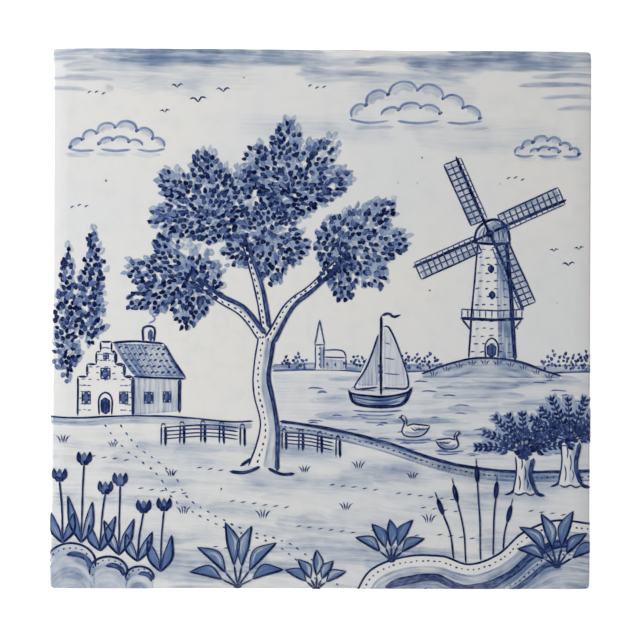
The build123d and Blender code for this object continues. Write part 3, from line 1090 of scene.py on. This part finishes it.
class DELFT_OT_paint_canal(bpy.types.Operator):
    """Paints the far shore, the water and the near bank"""

    bl_idname = "delft.paint_canal"
    bl_label = "Paint the canal"

    def execute(self, context):
        line, wash, leaves = line_brush(context, 21), Brushwork(22), leaf_brush(context, 23)
        rng = wash.rng
        shore = [(-12, -12.6), (0, -12.2), (14, -12.8), (28, -12.4), (46, -13.0), (66, -12.4)]
        line.stroke(shore, 0.4, 0.66)
        wash.stroke([(x, y + 0.9) for x, y in shore], 2.0, 0.36, cells=4)
        for x0, x1, h in ((-9, -3, 2.6), (8, 13, 2.2), (18, 29, 3.0), (54, 66, 3.4)):
            leaves.foliage(
                [((x0 + k, -10.8), (x0 + k + 0.4, -11.0 + h * rng.uniform(0.7, 1.2)), 0.9)
                 for k in np.arange(0, x1 - x0, 1.6)], 1.0, 0.7, 0.62, 0.9)
        wash.fill([(-12, -13), (20, -13.2), (66, -13)], NEAR_BANK, 0.08, 0.5)
        for _ in range(44):
            y = -14.2 - 20 * rng.uniform(0, 1) ** 1.2
            x0 = rng.uniform(-8 + max(0, (-24 - y) * 3.4), 54)
            reach = rng.uniform(8, 24)
            wash.stroke([(x0, y), (x0 + reach / 2, y + rng.normal(0, 0.3)), (x0 + reach, y)],
                        rng.uniform(0.8, 2.4), rng.uniform(0.10, 0.30), (3, 5), cells=5, dry=0.3,
                        soft=0.55)
        for _ in range(46):
            y = -14.4 - 19 * rng.uniform()
            x0 = rng.uniform(-7 + max(0, (-24.5 - y) * 3.6), 61)
            line.stroke([(x0, y), (x0 + 1.2, y + 0.25), (x0 + rng.uniform(2, 4.2), y)], 0.34,
                        rng.uniform(0.4, 0.68), (0.6, 1.2))
        wash.fill(NEAR_BANK, [(x, y - 2.6) for x, y in NEAR_BANK], 0.46)
        line.stroke(NEAR_BANK, 0.75, 0.86)
        line.dashes([(x, y - 1.3) for x, y in NEAR_BANK], 0.6, 0.8, 0.38, 0.84)
        wash.lay("paint_canal_wash", "far wash", wash_material(context))
        leaves.lay("paint_shore_leaves", "far leaves", line_material(context), atlas=True)
        line.lay("paint_canal_lines", "far lines", line_material(context))
        return {"FINISHED"}


class DELFT_OT_paint_meadow(bpy.types.Operator):
    """Paints the washes of the meadow with its tufts, flecks and path"""

    bl_idname = "delft.paint_meadow"
    bl_label = "Paint the meadow"

    def execute(self, context):
        line, wash = line_brush(context, 61), Brushwork(62)
        rng = wash.rng
        wash.fill([(-66, -25.5), (-30, -26), (0, -30), (30, -37), (66, -39)],
                  [(-66, -66), (0, -66), (66, -66)], 0.055, 2.0)
        for _ in range(110):
            y = -26 - 40 * rng.uniform()
            x0 = rng.uniform(-70, 40)
            if x0 > -8:
                y = min(y, -34 - 0.14 * x0)
            reach = rng.uniform(9, 34)
            slope = -0.05 * reach
            middle = (x0 + reach * 0.4, y + slope * 0.4 + rng.normal(0, 0.5))
            wash.stroke([(x0, y), middle, (x0 + reach, y + slope)], rng.uniform(1.6, 5.0),
                        rng.uniform(0.04, 0.17) + 0.06 * (y < -52), (4, 8), cells=8, dry=0.5,
                        soft=1.5)
        for x, y, count in ((-58, -33, 5), (-30, -36, 4), (-44, -41, 5), (-22, -44, 6), (2, -40, 5),
                            (18, -42, 6), (24, -45.5, 4), (-6, -50, 6), (12, -51, 5), (28, -52, 4),
                            (-26, -55, 5), (50, -46.2, 4)):
            for k in range(count):
                start = (x + 2.6 * k, y - 0.3 * k)
                line.stroke([start, (x + 2.6 * k + 1.4, y - 0.3 * k + 0.3)], 0.36, 0.7, (0.3, 0.5))
        for x, y, size in ((-62, -30, 0.9), (-50, -31, 0.7), (-36, -38, 0.8), (-4, -37, 0.8),
                           (9, -36, 0.9), (22, -38.5, 0.8), (26, -49, 1.0), (6, -46, 0.9),
                           (-14, -48, 1.0), (-33, -47, 0.9)):
            grass(line, x, y, size)
        for shift in (-1.9, 1.9):
            line.dashes([(-50 + shift, -26), (-46 + shift, -31), (-38 + shift, -37),
                         (-33 + shift, -44), (-22 + shift, -50), (-8 + shift, -55),
                         (2 + shift, -64)], 0.9, 1.2, 0.4, 0.72)
        wash.lay("paint_meadow_wash", "far wash", wash_material(context))
        line.lay("paint_meadow_lines", "far lines", line_material(context))
        return {"FINISHED"}


class DELFT_OT_paint_windmill(bpy.types.Operator):
    """Paints the church, the tower mill on its mound, the boat and the swans"""

    bl_idname = "delft.paint_windmill"
    bl_label = "Paint the windmill"

    def execute(self, context):
        line, wash, white = line_brush(context, 31), Brushwork(32), reserve_brush()
        church(line, wash, white, -1.5, -12.2)
        mound = np.array([(24, -13.2), (29, -11.2), (35, -9.6), (41, -9.2), (48, -10.2),
                          (54, -12.4), (58, -13.6)])
        foot = [(x, -14.2) for x, _ in mound]
        white.fill(mound, foot)
        wash.fill(mound, foot, 0.4, hair=0.4)
        line.stroke(mound, 0.5, 0.84)
        windmill(line, wash, white, 41, -9.4)
        for x in np.arange(27, 57, 3.1):
            grass(line, x, np.interp(x, *mound.T) - 1.6, 0.6, 3)
        sailing_boat(line, wash, white, 14, -18.5, 0.92)
        swan(line, wash, white, 22.5, -27.2, 0.8)
        swan(line, wash, white, 30.5, -30.3, 0.66, -1)
        white.lay("paint_windmill_white", "far white", glaze_material(context), "tin_glaze")
        wash.lay("paint_windmill_wash", "near wash", wash_material(context))
        line.lay("paint_windmill_lines", "near lines", line_material(context))
        return {"FINISHED"}


class DELFT_OT_paint_house(bpy.types.Operator):
    """Paints the stepped house, its poplars and the fence"""

    bl_idname = "delft.paint_house"
    bl_label = "Paint the house"

    def execute(self, context):
        line, wash, white = line_brush(context, 41), Brushwork(42), reserve_brush()
        leaves = leaf_brush(context, 44)
        for x, y, h in ((-61.5, -16, 33), (-55.5, -8, 30)):
            lobes = [((x, y + 0.2 * h), (x + 0.3, y + h), 3.0),
                     ((x, y + 0.3 * h), (x - 2.4, y + 0.62 * h), 2.2),
                     ((x, y + 0.3 * h), (x + 2.6, y + 0.74 * h), 2.2),
                     ((x, y + 0.45 * h), (x, y), 2.6)]
            beside = [((a[0] + 0.5, a[1] + 0.3), (b[0] + 0.5, b[1] + 0.8), w) for a, b, w in lobes]
            wash.foliage(beside, 1.6, 0.3, 1.5, 1, 1.2)
            leaves.foliage(lobes, 1.35, 0.58, 1.0, 0.4, 1.0)
            leaves.foliage(lobes, 1.35, 0.94, 0.92, 0.85, shade=0.08)
        stepped_house(line, wash, white, -58.5, -23.5)
        ground = [(-66, -23.6), (-58, -24.0), (-45, -23.4), (-33, -23.8), (-22, -24.8),
                  (-16.4, -24.6)]
        line.stroke(ground, 0.45, 0.84)
        wash.fill(ground, [(x, y - 2.2) for x, y in ground], 0.34, 0.7)
        fence(line, [(-38, -30.5), (-28, -29.8), (-19, -30.6)], 5, 4.6)
        fence(line, [(-9, -31.4), (-3, -31.8), (4, -33.2)], 4, 4.4)
        white.lay("paint_house_white", "far white", glaze_material(context), "tin_glaze")
        wash.lay("paint_house_wash", "near wash", wash_material(context))
        leaves.lay("paint_poplars", "near leaves", line_material(context), atlas=True)
        line.lay("paint_house_lines", "near lines", line_material(context))
        return {"FINISHED"}


class DELFT_OT_paint_tree(bpy.types.Operator):
    """Paints the great tree and the pollard willows"""

    bl_idname = "delft.paint_tree"
    bl_label = "Paint the trees"

    def execute(self, context):
        line, wash, white = line_brush(context, 51), Brushwork(52), reserve_brush()
        haze, leaves, pale, front = (leaf_brush(context, seed) for seed in (53, 54, 55, 56))
        masses = [((-31, 9), 6.6, ((-47, 3), (-48, 12), (-40, 20), (-34, -3))),
                  ((-26, 25), 6.8, ((-42, 24), (-40, 35), (-29, 41), (-17, 36))),
                  ((-8, 31), 7.0, ((-19, 41), (-9, 48), (3, 43), (7, 34))),
                  ((5, 18), 6.6, ((17, 28), (21, 18), (15, 8), (5, 4))),
                  ((-13, 19), 7.0, ((-24, 14), (-3, 16), (-14, 31), (-12, 8)))]
        for centre, width, tips in masses:
            lobes = [(centre, tip, width) for tip in tips]
            beside = [((c[0] + 0.6, c[1] + 0.4), (t[0] + 0.7, t[1] + 1.0), w) for c, t, w in lobes]
            haze.foliage(beside, 1.7, 0.30, 1.6, 1.0, 1.12)
            pale.foliage(lobes, 1.5, 0.33, 1.15, 0.5, 1.03)
            leaves.foliage(lobes, 1.42, 0.60, 1.0, 0.34, 1.02, shade=0.35)
            leaves.foliage(lobes, 1.40, 0.90, 0.92, 0.78, 1.0, shade=0.22)
        # The trunk parts into three at its fork, where their lines meet in two notches
        for path, widths in (
                ([(-14, -36), (-12.6, -26), (-14.6, -15), (-13.4, -4.6)], (6.5, 4.2, 3.8, 3.4)),
                ([(-14.4, -4.4), (-19, 1.6), (-25, 5), (-31, 10)], (2.4, 2.1, 1.6, 1.1)),
                ([(-12.6, -5.2), (-7.8, 3.2), (-2, 8), (5, 15)], (2.4, 1.9, 1.5, 1.0)),
                ([(-13.5, -2.4), (-15.2, 7), (-18.5, 18)], (1.8, 1.8, 1.2))):
            trunk(line, wash, white, path, widths)
        for x, y, turn in ((-25.5, 5.6, 2.5), (-29.8, 9.4, 2.2), (-30.6, 8.2, 2.9),
                           (-17.6, 14.4, 1.9), (-18.6, 17.8, 1.6), (0.2, 10.2, 0.8),
                           (4.2, 14.6, 0.5), (4.6, 13.2, 1.2)):
            tip = (x + 3.4 * math.cos(turn), y + 3.4 * math.sin(turn))
            front.foliage([((x, y), tip, 1.6)], 1.5, 0.84, 0.95, 0.75)
        line.lines([[(-14.6, -35.6), (-18.5, -37.0), (-22, -36.8)],
                    [(-12.8, -35.9), (-9.5, -37.4), (-6.4, -37.2)],
                    [(-16.6, -33.6), (-19.5, -35.4)]], width=0.8, load=0.86)
        for x, y, height in ((49, -41.5, 9), (60, -39.5, 10)):
            pollard(line, pale, leaves, front, wash, white, x, y, height)
        haze.lay("paint_tree_haze", "near pale", wash_material(context), atlas=True)
        pale.lay("paint_tree_pale", "tree pale", line_material(context), atlas=True)
        leaves.lay("paint_tree_leaves", "tree leaves", line_material(context), atlas=True)
        white.lay("paint_tree_white", "tree white", glaze_material(context), "tin_glaze")
        wash.lay("paint_tree_wash", "tree wash", wash_material(context))
        line.lay("paint_tree_lines", "tree lines", line_material(context))
        front.lay("paint_tree_front", "tree front", line_material(context), atlas=True)
        return {"FINISHED"}


# The top of the bank at the bottom right, from left to right
BANK = np.array([(8, -67), (12, -60.5), (20, -57.2), (29, -57.0), (36, -59.0), (43, -56.4),
                 (49, -51.2), (57, -48.4), (67, -49.4)])


class DELFT_OT_paint_bank(bpy.types.Operator):
    """Paints the bank at the bottom right and the stones at the bottom left"""

    bl_idname = "delft.paint_bank"
    bl_label = "Paint the bank"

    def execute(self, context):
        line, wash, white = line_brush(context, 71), Brushwork(72), reserve_brush()
        p = smooth_path(BANK, 1.0)
        n = len(p)
        down = -left_of(p)
        foot = np.stack([np.interp(np.linspace(0, 1, n), (0, 1), (10, 67)), np.full(n, -66.0)], 1)
        white.fill(p[::3], foot[::3])
        wash.fill((p + down * 2.4)[::3], foot[::3], 0.34, 0.5)
        line.stroke(BANK, 0.5, 0.86)
        line.dashes((p + down * 1.4)[::3], 0.6, 0.8, 0.38, 0.86)
        for depth, width, load, start, end in ((5.4, 2.0, 0.80, 8, -3), (9.8, 1.2, 0.72, 26, -6)):
            drift = (1 + 0.12 * line.slow(n, 9))[:, None]
            band = (p + down * depth * drift)[start:end:3]
            line.stroke(band, width, load, (5, 3), cells=4)
            wash.stroke(band - (0, 1.4), 2.6, 0.42, (4, 4), cells=5, soft=0.8)
        line.dashes((p + down * 8.2)[22:-6:3], 0.6, 0.8, 0.38, 0.86)
        for x, y, r in ((-60, -59, 6.0), (-51, -61, 4.6), (-43.5, -62.4, 3.4)):
            turn = np.radians(np.arange(-10, 191, 25))
            ring = np.stack([np.cos(turn), np.sin(turn)], 1)
            edge = (x, y) + r * ring * (1, 0.82)
            under = [(px, -66) for px, _ in edge]
            white.fill(edge, under)
            wash.fill(edge, under, 0.36, 0.5, hair=0.3)
            line.stroke(edge, 0.6, 0.88)
            line.stroke((x + 0.6, y - 0.6) + r * ring[:6] * (0.66, 0.5), 1.3, 0.74, (1, 2), cells=3)
            line.dashes((x, y) + r * ring[2:] * (0.84, 0.64), 0.6, 0.8, 0.36, 0.84)
        white.lay("paint_bank_white", "far white", glaze_material(context), "tin_glaze")
        wash.lay("paint_bank_wash", "near wash", wash_material(context))
        line.lay("paint_bank_lines", "near lines", line_material(context))
        return {"FINISHED"}


class DELFT_OT_paint_plants(bpy.types.Operator):
    """Paints the tulips, the bulrushes and the clumps of leaves along the bottom edge"""

    bl_idname = "delft.paint_plants"
    bl_label = "Paint the plants"

    def execute(self, context):
        line, wash, white = line_brush(context, 75), Brushwork(76), reserve_brush()
        for x, y, h, lean in ((-62, -54, 15, -0.8), (-57.5, -54, 19, 0.6), (-53, -56, 14, 1.2),
                              (-48.5, -57, 17, 0.2), (-44, -58.5, 12, 1.4), (-38.5, -61, 15, 0.8)):
            tulip(line, wash, white, x, y, h, lean)
        for x, h, lean in ((35, 15, -2.2), (38.5, 19, -0.8), (41.5, 14, 0.6), (44, 7, 1.0),
                           (32, 11, -2.6)):
            bulrush(line, x, np.interp(x, *BANK.T), h, lean)
        leaf_fan(line, wash, white, -20, -64.5, 6, 15, 62)
        leaf_fan(line, wash, white, 17, -58.2, 5, 11, 52)
        leaf_fan(line, wash, white, 57, -59.5, 6, 13, 60, 0.85)
        leaf_fan(line, wash, white, -1, -65.2, 5, 9, 50)
        white.lay("paint_plants_white", "plant white", glaze_material(context), "tin_glaze")
        wash.lay("paint_plants_wash", "plant wash", wash_material(context))
        line.lay("paint_plants_lines", "plant lines", line_material(context))
        return {"FINISHED"}


class DELFT_OT_fire_specks(bpy.types.Operator):
    """Scatters a few iron specks and one stain from the firing"""

    bl_idname = "delft.fire_specks"
    bl_label = "Fire the specks"

    def execute(self, context):
        specks = Brushwork(81)
        rng = specks.rng
        spots = np.array([(-19, 58), (26, 7), (43.5, 1.5), (47.2, -2), (-52, 33), (24, 39),
                          (-24, -41)])
        n = len(spots)
        specks.dabs(*spots.T, rng.uniform(0, 3, n), rng.uniform(0.4, 0.7, n),
                    rng.uniform(0.35, 0.55, n), load=1.0, bend=0, point=0)
        # A speck's edge is sharp, so its softness is a small one
        specks.paint[-1][:, 2] = SPECK_SOFT
        specks.stroke([(-52.5, 56), (-51, 55.2), (-50, 54.6)], 2.2, 0.16, (1, 1), cells=6, soft=1.0)
        specks.lay("iron_specks", "far lines", speck_material(context), "tin_glaze", atlas=True)
        return {"FINISHED"}


# Name, place and size of each lamp, in metres. Its power is the setting of that name
LAMPS = (("key", (-0.42, 0.05, 0.35), 0.3), ("fill", (0.95, -0.10, 0.85), 0.9),
         ("top", (0.0, 0.75, 0.95), 0.9), ("front", (0.0, -0.75, 0.95), 0.9))
DIM_FROM, DIM_TO = 0.62, 0.88  # sines of the heights between which the room's light dims to none
FLOOR_DROP = 2e-5  # metres from the tile's back down to the floor, so that the two stay apart


def stand(context, name, data, place, turn):
    """Stands a lamp or a camera in the scene."""
    holder = bpy.data.objects.new(name, data)
    holder.location, holder.rotation_euler = place, turn
    context.scene.collection.objects.link(holder)
    return holder


def room_light(stage):
    """Light from all round the room, with none from straight above."""
    world = bpy.data.worlds.new("studio")
    world.use_nodes = True
    nodes, links = world.node_tree.nodes, world.node_tree.links
    sky, height, dim = (nodes.new(kind) for kind in (
        "ShaderNodeTexCoord", "ShaderNodeSeparateXYZ", "ShaderNodeMapRange"))
    dim.interpolation_type = "SMOOTHSTEP"
    for socket, value in zip(dim.inputs[1:5], (DIM_FROM, DIM_TO, stage.room, 0.0)):
        socket.default_value = value
    background = nodes["Background"]
    background.inputs[0].default_value = (*stage.room_colour, 1)
    links.new(sky.outputs["Generated"], height.inputs[0])
    links.new(height.outputs[2], dim.inputs[0])
    links.new(dim.outputs[0], background.inputs[1])
    return world


class DELFT_OT_stage(bpy.types.Operator):
    """Sets the tile on a pale floor, with soft lamps and the camera straight above"""

    bl_idname = "delft.stage"
    bl_label = "Set the stage"

    def execute(self, context):
        scene, stage = context.scene, context.scene.delft_stage
        f = Finish("floor_paint")
        shade = [c * 0.985 for c in stage.floor_colour]
        colour = f.blend(f.noise(object_place(f), scale=3.0), (*stage.floor_colour, 1), (*shade, 1))
        f.finished(Base_Color=colour, Roughness=0.9, IOR=1.2, Emission_Color=(1, 1, 1, 1),
                   Emission_Strength=stage.floor_glow)
        half = stage.floor_size / 2
        corners = np.array([(-half, -half, 0), (half, -half, 0), (half, half, 0), (-half, half, 0)])
        one_quad = np.array([[0, 1, 2, 3]])
        new_piece("floor", corners - (0, 0, FLOOR_DROP), one_quad, f.material)
        for name, place, size in LAMPS:
            lamp = bpy.data.lights.new(name, "AREA")
            lamp.shape, lamp.size, lamp.energy = "DISK", size, getattr(stage, name)
            facing = (-Vector(place)).to_track_quat("-Z", "Y").to_euler()
            stand(context, name, lamp, place, facing)
        scene.world = room_light(stage)
        scene.view_settings.view_transform = "Standard"
        # Washes lie many deep, and each is seen through the ones above it
        scene.cycles.transparent_max_bounces = 32
        camera = bpy.data.cameras.new("camera")
        camera.lens, camera.sensor_width, camera.clip_start = stage.lens, 36.0, 0.01
        scene.camera = stand(context, "camera", camera, stage.camera_place,
                             Euler(stage.camera_turn))
        return {"FINISHED"}


# Settings and panel


def colour(name, description, default):
    """A colour setting."""
    return FloatVectorProperty(name=name, description=description, subtype="COLOR", size=3,
                               min=0, max=1, default=default)


def length(name, description, default):
    """A length setting, in metres."""
    return FloatProperty(name=name, description=description, default=default, unit="LENGTH",
                         subtype="DISTANCE", precision=5)


def power(name, description, default):
    """A lamp's power, in watts."""
    return FloatProperty(name=name, description=description, default=default, unit="POWER", min=0)


def share(name, description, default, least, most):
    """A setting that is a share, from the least to the most."""
    return FloatProperty(name=name, description=description, default=default, min=least, max=most,
                         subtype="FACTOR")


class DelftGlaze(bpy.types.PropertyGroup):
    """The tin glaze and the clay under it"""

    white: colour("White", "Tin glaze on the face", (0.81, 0.80, 0.772))
    cool_white: colour("Cool white", "Glaze where it is thicker", (0.775, 0.78, 0.785))
    grey_white: colour("Grey white", "Fine mottling of the glaze", (0.72, 0.73, 0.74))
    pit: colour("Pit", "Pinholes in the glaze", (0.30, 0.27, 0.24))
    speck: colour("Speck", "Iron burnt into the glaze", (0.035, 0.025, 0.03))
    stain: colour("Stain", "Bloom round iron in the glaze", (0.36, 0.22, 0.14))
    biscuit: colour("Biscuit", "Bare fired clay", (0.62, 0.50, 0.38))
    biscuit_dark: colour("Dark biscuit", "Darker parts of the bare clay", (0.50, 0.39, 0.29))
    # Thin glaze also sets painted shade: how far the sides are darkened towards the clay colour
    thin: share("Thin glaze", "Share of the clay that shows through on the sides", 0.55, 0.0, 0.8)
    bare_height: length("Bare height", "Height on the sides below which the clay is bare", 0.0002)
    run_height: length("Run height", "Height to which the thick of the glaze runs down", 0.0028)
    run_thickness: length("Run thickness", "Thickness of the glaze where its run ends", 0.0001)


class DelftPaint(bpy.types.PropertyGroup):
    """The blues, from an almost dry brush to a full one"""

    dry: colour("Dry brush", "Where the brush is almost dry", (0.62, 0.63, 0.65))
    pale: colour("Pale blue", "A quarter of the full load", (0.33, 0.41, 0.57))
    middle: colour("Middle blue", "Half of the full load", (0.13, 0.19, 0.38))
    deep: colour("Deep blue", "Three quarters of the full load", (0.024, 0.045, 0.150))
    darkest: colour("Darkest blue", "The full load", (0.0028, 0.0068, 0.043))
    wash_strength: share("Wash strength", "Load of the washes, as a share of the usual", 1.0,
                         0.0, 2.0)
    wash_light: colour("Light wash", "Thinned colour, lightly laid", (0.215, 0.365, 0.60))
    wash_deep: colour("Deep wash", "Thinned colour, heavily laid", (0.075, 0.12, 0.30))


class DelftBrush(bpy.types.PropertyGroup):
    """How the brush is used"""

    line_weight: share("Line weight", "Width of the lines, as a share of the usual", 1.0, 0.3, 2.0)
    leaf_size: share("Leaf size", "Size of the trees' leaves, as a share of the usual", 1.0,
                     0.5, 1.6)


class DelftStage(bpy.types.PropertyGroup):
    """The floor, the lamps and the camera"""

    floor_size: length("Floor", "Side of the floor", 6.0)
    floor_glow: FloatProperty(name="Floor glow", default=0.65, min=0,
                              description="Light that comes up through the floor")
    floor_colour: colour("Floor colour", "Paint of the floor", (0.93, 0.93, 0.93))
    key: power("Key", "Lamp on the left", 2.3)
    fill: power("Fill", "Lamp on the right", 0.2)
    top: power("Top", "Lamp beyond the top edge", 2.0)
    front: power("Front", "Lamp before the bottom edge", 2.0)
    room: FloatProperty(name="Room", description="Strength of the room's light", default=0.34,
                        min=0)
    room_colour: colour("Room colour", "Colour of the room's light", (1.0, 1.0, 1.0))
    lens: FloatProperty(name="Lens", description="Focal length of the camera", default=85.0,
                        unit="CAMERA")
    camera_place: FloatVectorProperty(name="Camera", description="Where the camera stands", size=3,
                                      subtype="TRANSLATION", unit="LENGTH",
                                      default=(-0.00571, -0.00140, 0.37409))
    camera_turn: FloatVectorProperty(name="Turn", description="How the camera is turned", size=3,
                                     subtype="EULER", unit="ROTATION",
                                     default=(0.001782, -0.015780, 0.004383))


class VIEW3D_PT_delft_tile(bpy.types.Panel):
    """The steps of making the tile, in order"""

    bl_label = "Delft Tile"
    bl_space_type = "VIEW_3D"
    bl_region_type = "UI"
    bl_category = "Delft Tile"

    def draw(self, context):
        for name in GROUPS:
            settings, box = getattr(context.scene, name), self.layout.box()
            for key in settings.__annotations__:
                box.prop(settings, key)
        for step in STEPS:
            self.layout.operator(step.bl_idname)


STEPS = (DELFT_OT_glaze_tile, DELFT_OT_run_glaze, DELFT_OT_paint_sky, DELFT_OT_paint_canal,
         DELFT_OT_paint_meadow, DELFT_OT_paint_windmill, DELFT_OT_paint_house, DELFT_OT_paint_tree,
         DELFT_OT_paint_bank, DELFT_OT_paint_plants, DELFT_OT_fire_specks, DELFT_OT_stage)
GROUPS = {"delft_glaze": DelftGlaze, "delft_paint": DelftPaint, "delft_brush": DelftBrush,
          "delft_stage": DelftStage}


def register():
    """Registers the settings, the steps and the panel."""
    for kind in (*GROUPS.values(), *STEPS, VIEW3D_PT_delft_tile):
        bpy.utils.register_class(kind)
    for name, kind in GROUPS.items():
        setattr(bpy.types.Scene, name, PointerProperty(type=kind))


def unregister():
    """Takes back what register did."""
    for name in GROUPS:
        delattr(bpy.types.Scene, name)
    for kind in (VIEW3D_PT_delft_tile, *reversed(STEPS), *GROUPS.values()):
        bpy.utils.unregister_class(kind)


def main():
    """Makes the whole tile."""
    register()
    for step in STEPS:
        group, name = step.bl_idname.split(".")
        getattr(getattr(bpy.ops, group), name)()


if __name__ == "__main__":
    main()
